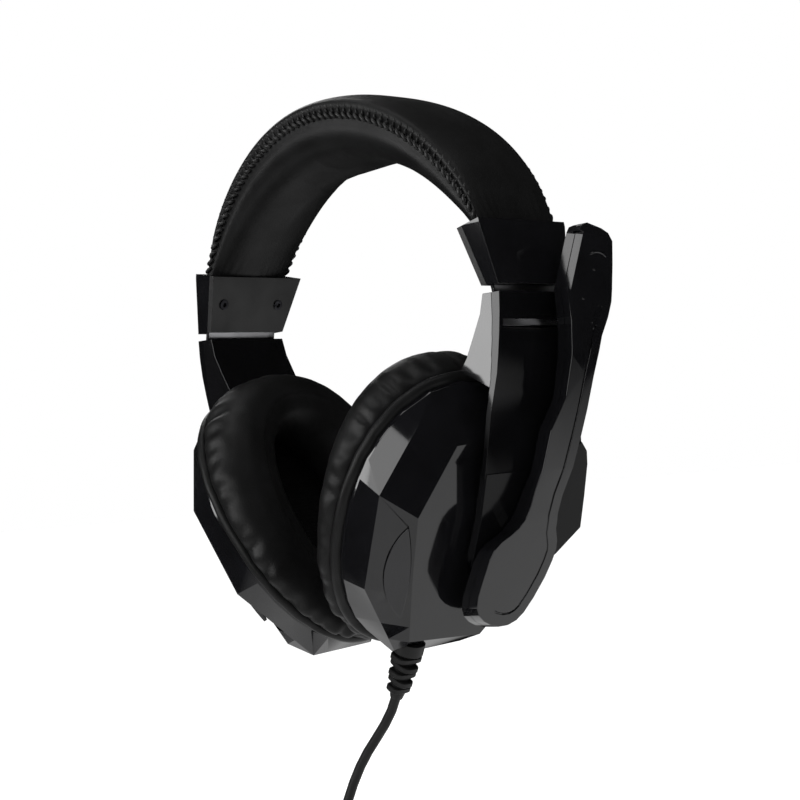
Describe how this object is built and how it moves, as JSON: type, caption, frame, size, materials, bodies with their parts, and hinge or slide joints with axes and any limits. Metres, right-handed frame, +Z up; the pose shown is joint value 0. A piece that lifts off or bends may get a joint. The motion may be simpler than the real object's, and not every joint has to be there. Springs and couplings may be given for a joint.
{
  "type": "gaming headset",
  "caption": "Over-ear gaming headset: padded headband, sliding arms, faceted oval ear cups with soft cushions, a flip-down microphone boom and a plugged cord.",
  "frame": {"origin": "middle of the headband padding's underside, where it rests on the crown of a head", "axes": "+X towards the wearer's left, -Y towards the wearer's front, +Z up"},
  "size_m": [0.1651, 0.0867, 0.3302],
  "materials": {
    "band_leather": "satin",
    "foam": "matt",
    "steel": "satin",
    "gloss_black": "gloss",
    "gloss_insert": "gloss",
    "satin_black": "satin",
    "nylon": "matt",
    "dark_screws": "satin",
    "dark_metal": "satin",
    "ear_cloth": "matt",
    "ear_leather": "satin",
    "capsule_metal": "satin",
    "cord_rubber": "matt",
    "plug_gold": "polished"
  },
  "bodies": {
    "headband": {"headband_cover": "band_leather", "headband_foam": "foam", "spring_band": "steel", "end_cap_outer_l": "gloss_black", "end_cap_outer_r": "gloss_black", "end_cap_inner_l": "satin_black", "end_cap_inner_r": "satin_black", "slider_guide_l": "nylon", "slider_guide_r": "nylon", "cap_screws_l": "dark_screws", "cap_screws_r": "dark_screws"},
    "arm_l": {"slider_strip_l": "steel", "arm_outer_l": "gloss_black", "arm_inner_l": "satin_black", "tilt_lugs_l": "dark_metal"},
    "arm_r": {"slider_strip_r": "steel", "arm_outer_r": "gloss_black", "arm_inner_r": "satin_black", "tilt_lugs_r": "dark_metal"},
    "cup_l": {"cup_shell_l": "gloss_black", "cup_insert_l": "gloss_insert", "pivot_block_l": "dark_metal", "tilt_pin_l": "steel", "baffle_l": "satin_black", "driver_l": "dark_metal", "ear_cloth_l": "ear_cloth", "cushion_l": "ear_leather", "cushion_lip_l": "ear_leather", "strain_relief": "cord_rubber", "cord_tube": "cord_rubber", "cord_coil": "cord_rubber", "cord_tie": "cord_rubber", "plug_body": "cord_rubber", "plug_pin": "plug_gold"},
    "cup_r": {"cup_shell_r": "gloss_black", "cup_insert_r": "gloss_insert", "pivot_block_r": "dark_metal", "tilt_pin_r": "steel", "baffle_r": "satin_black", "driver_r": "dark_metal", "ear_cloth_r": "ear_cloth", "cushion_r": "ear_leather", "cushion_lip_r": "ear_leather"},
    "mic_boom": {"boom_outer": "gloss_black", "boom_inner": "gloss_black", "boom_shaft": "dark_metal", "boom_nut": "steel", "mic_capsule": "capsule_metal", "mic_foam": "foam"}
  },
  "joints": [
    {"name": "slide_l", "type": "slide", "parent": "headband", "child": "arm_l", "axis": [0.2079, 0, -0.9781], "range_m": [0, 0.02]},
    {"name": "slide_r", "type": "slide", "parent": "headband", "child": "arm_r", "axis": [-0.2079, 0, -0.9781], "range_m": [0, 0.02]},
    {"name": "tilt_l", "type": "hinge", "parent": "arm_l", "child": "cup_l", "pos_m": [0.04939, -0.00221, -0.12673], "axis": [-0.1392, -0.9903, 0], "range_deg": [0, 5]},
    {"name": "tilt_r", "type": "hinge", "parent": "arm_r", "child": "cup_r", "pos_m": [-0.04939, -0.00221, -0.12673], "axis": [-0.1392, 0.9903, 0], "range_deg": [0, 5]},
    {"name": "mic_swing", "type": "hinge", "parent": "arm_l", "child": "mic_boom", "pos_m": [0.05443, -0.00494, -0.14431], "axis": [0.8744, -0.1229, -0.4695], "range_deg": [0, 120]}
  ]
}
